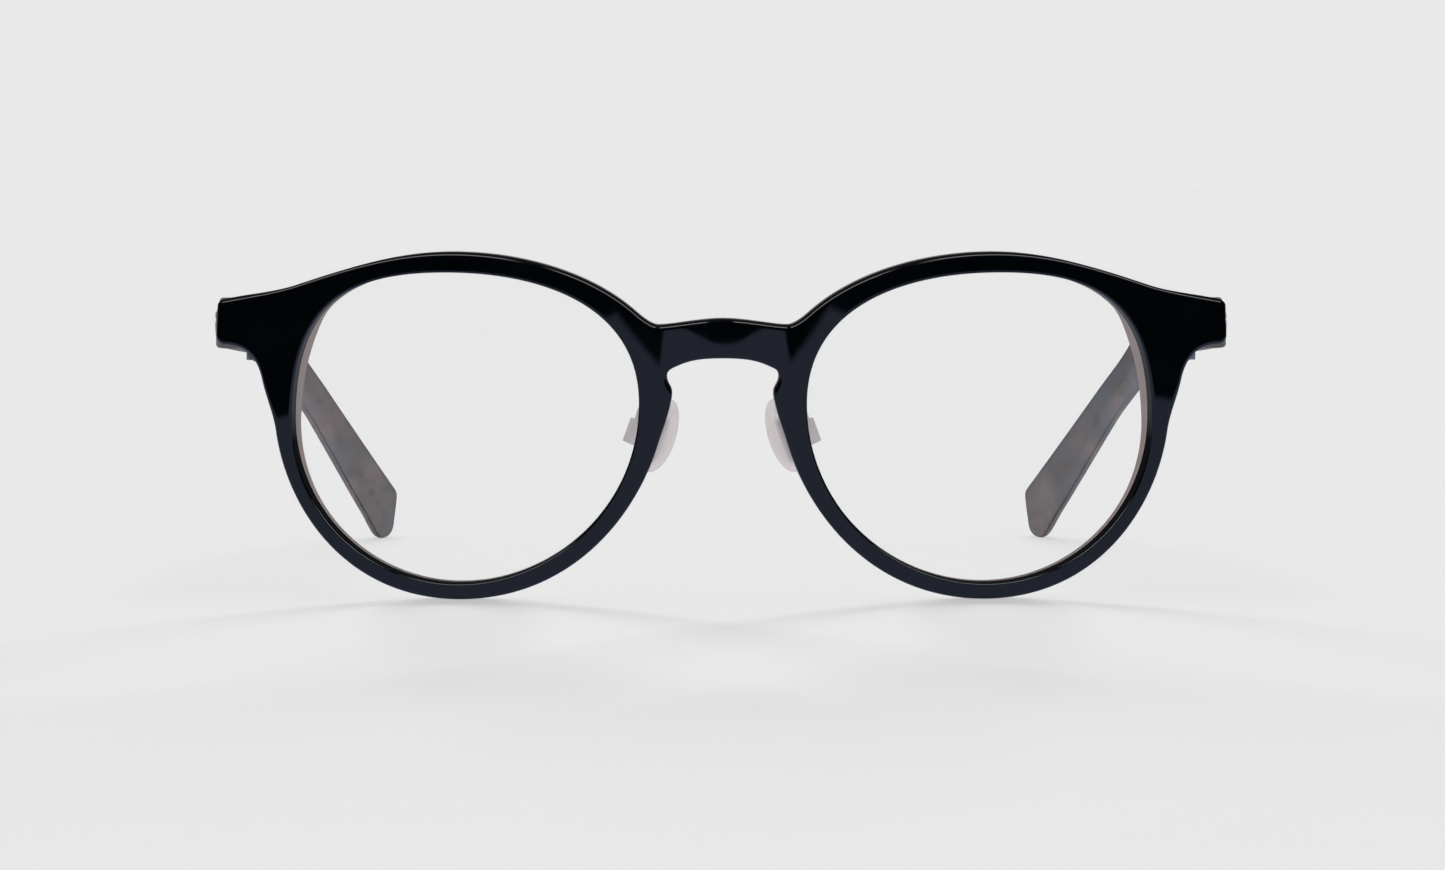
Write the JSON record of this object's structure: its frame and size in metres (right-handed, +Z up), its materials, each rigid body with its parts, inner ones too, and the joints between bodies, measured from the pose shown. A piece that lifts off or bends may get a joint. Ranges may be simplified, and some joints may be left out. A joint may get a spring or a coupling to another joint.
{
  "type": "round spectacles",
  "caption": "Round panto spectacles: gloss black acetate front laminated on horn acetate, keyhole bridge, screw-on nose pads, clear lenses, folding temples.",
  "frame": {"origin": "on the surface that the open spectacles stand on, under the middle of their box", "axes": "+Z up; the front faces -Y and the temples run to +Y; +X and the right-hand nodes are at the right of a front view"},
  "size_m": [0.139, 0.1398, 0.0482],
  "materials": {
    "black_acetate": "polished black acetate",
    "horn_acetate": "polished translucent grey-brown horn acetate",
    "clear_lens": "clear, coated",
    "clear_silicone": "clear silicone, slightly pink",
    "nickel_wire": "polished",
    "bright_steel": "turned",
    "hinge_steel": "stamped and tumbled",
    "satin_steel": "satin"
  },
  "bodies": {
    "front": {"front_lamina": "black_acetate", "rear_lamina": "horn_acetate", "left_lens": "clear_lens", "right_lens": "clear_lens", "left_pad_arm": "nickel_wire", "right_pad_arm": "nickel_wire", "left_pad_screw": "bright_steel", "right_pad_screw": "bright_steel", "left_front_hinge": "hinge_steel", "right_front_hinge": "hinge_steel", "left_hinge_screw": "bright_steel", "right_hinge_screw": "bright_steel"},
    "left_temple": {"left_temple": "horn_acetate", "left_temple_hinge": "hinge_steel", "left_core_wire": "bright_steel", "left_trim_plate": "satin_steel", "left_trim_pins": "satin_steel"},
    "left_pad": {"left_nose_pad": "clear_silicone", "left_pad_core": "bright_steel"},
    "right_temple": {"right_temple": "horn_acetate", "right_temple_hinge": "hinge_steel", "right_core_wire": "bright_steel", "right_trim_plate": "satin_steel", "right_trim_pins": "satin_steel"},
    "right_pad": {"right_nose_pad": "clear_silicone", "right_pad_core": "bright_steel"}
  },
  "joints": [
    {"name": "left_temple_fold", "type": "hinge", "parent": "front", "child": "left_temple", "pos_m": [-0.0636, -0.05277, 0.0361], "axis": [0, 0, -1], "range_deg": [0, 84]},
    {"name": "right_temple_fold", "type": "hinge", "parent": "front", "child": "right_temple", "pos_m": [0.0636, -0.05277, 0.0361], "axis": [0, 0, 1], "range_deg": [0, 75]},
    {"name": "left_pad_rock", "type": "hinge", "parent": "front", "child": "left_pad", "pos_m": [-0.01102, -0.05745, 0.02235], "axis": [-0.498, 0.848, 0.1812], "range_deg": [-8, 8]},
    {"name": "right_pad_rock", "type": "hinge", "parent": "front", "child": "right_pad", "pos_m": [0.01102, -0.05745, 0.02235], "axis": [0.498, 0.848, 0.1812], "range_deg": [-8, 8]}
  ]
}
